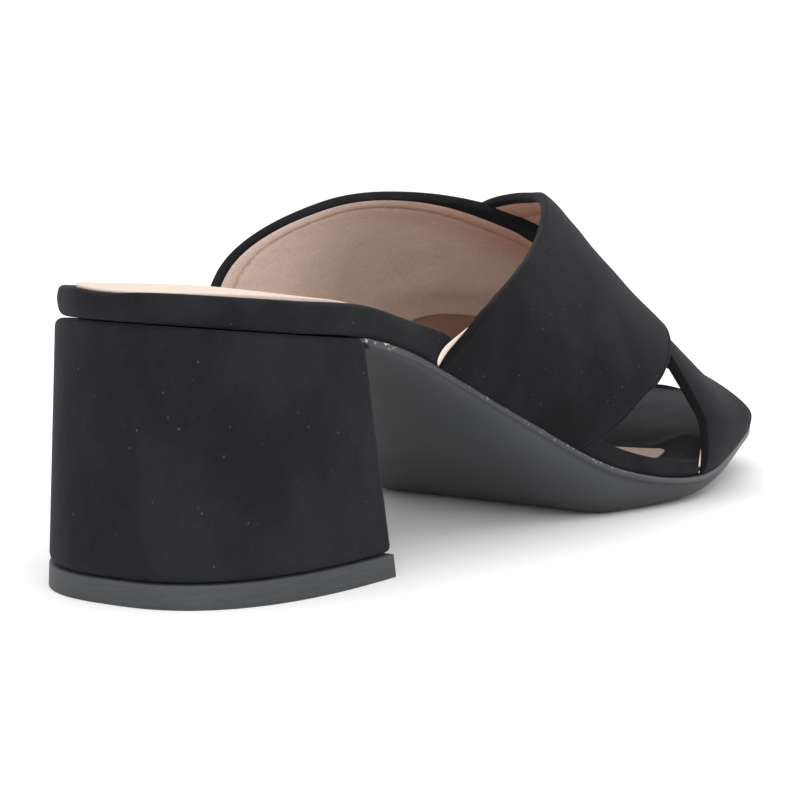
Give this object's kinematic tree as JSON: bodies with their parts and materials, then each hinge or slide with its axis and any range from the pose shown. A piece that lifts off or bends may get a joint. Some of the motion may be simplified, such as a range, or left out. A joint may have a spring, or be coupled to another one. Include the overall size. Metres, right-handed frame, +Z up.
{
  "type": "block-heel cross-strap mule",
  "caption": "Open-toe slip-on mule with wide crossed suede straps on a curved footbed and a wrapped block heel.",
  "frame": {"origin": "middle of the heel's resting face, on the floor", "axes": "+Y to the toe, +X to the wearer's right (the outer side), +Z up"},
  "size_m": [0.0902, 0.2313, 0.0692],
  "materials": {
    "heel_rubber": "matt dark grey, lightly scuffed",
    "heel_suede": "black suede, short nap",
    "outsole_synthetic": "satin dark grey synthetic sole",
    "rim_suede": "black suede, short nap",
    "nude_leather": "smooth nude lining leather",
    "strap_suede": "black suede outside, nude leather lining inside"
  },
  "bodies": {
    "root": {"heel_tip": "heel_rubber", "heel_block": "heel_suede", "outsole": "outsole_synthetic", "footbed": "rim_suede", "insole_sock": "nude_leather", "upper": "strap_suede"}
  },
  "joints": []
}
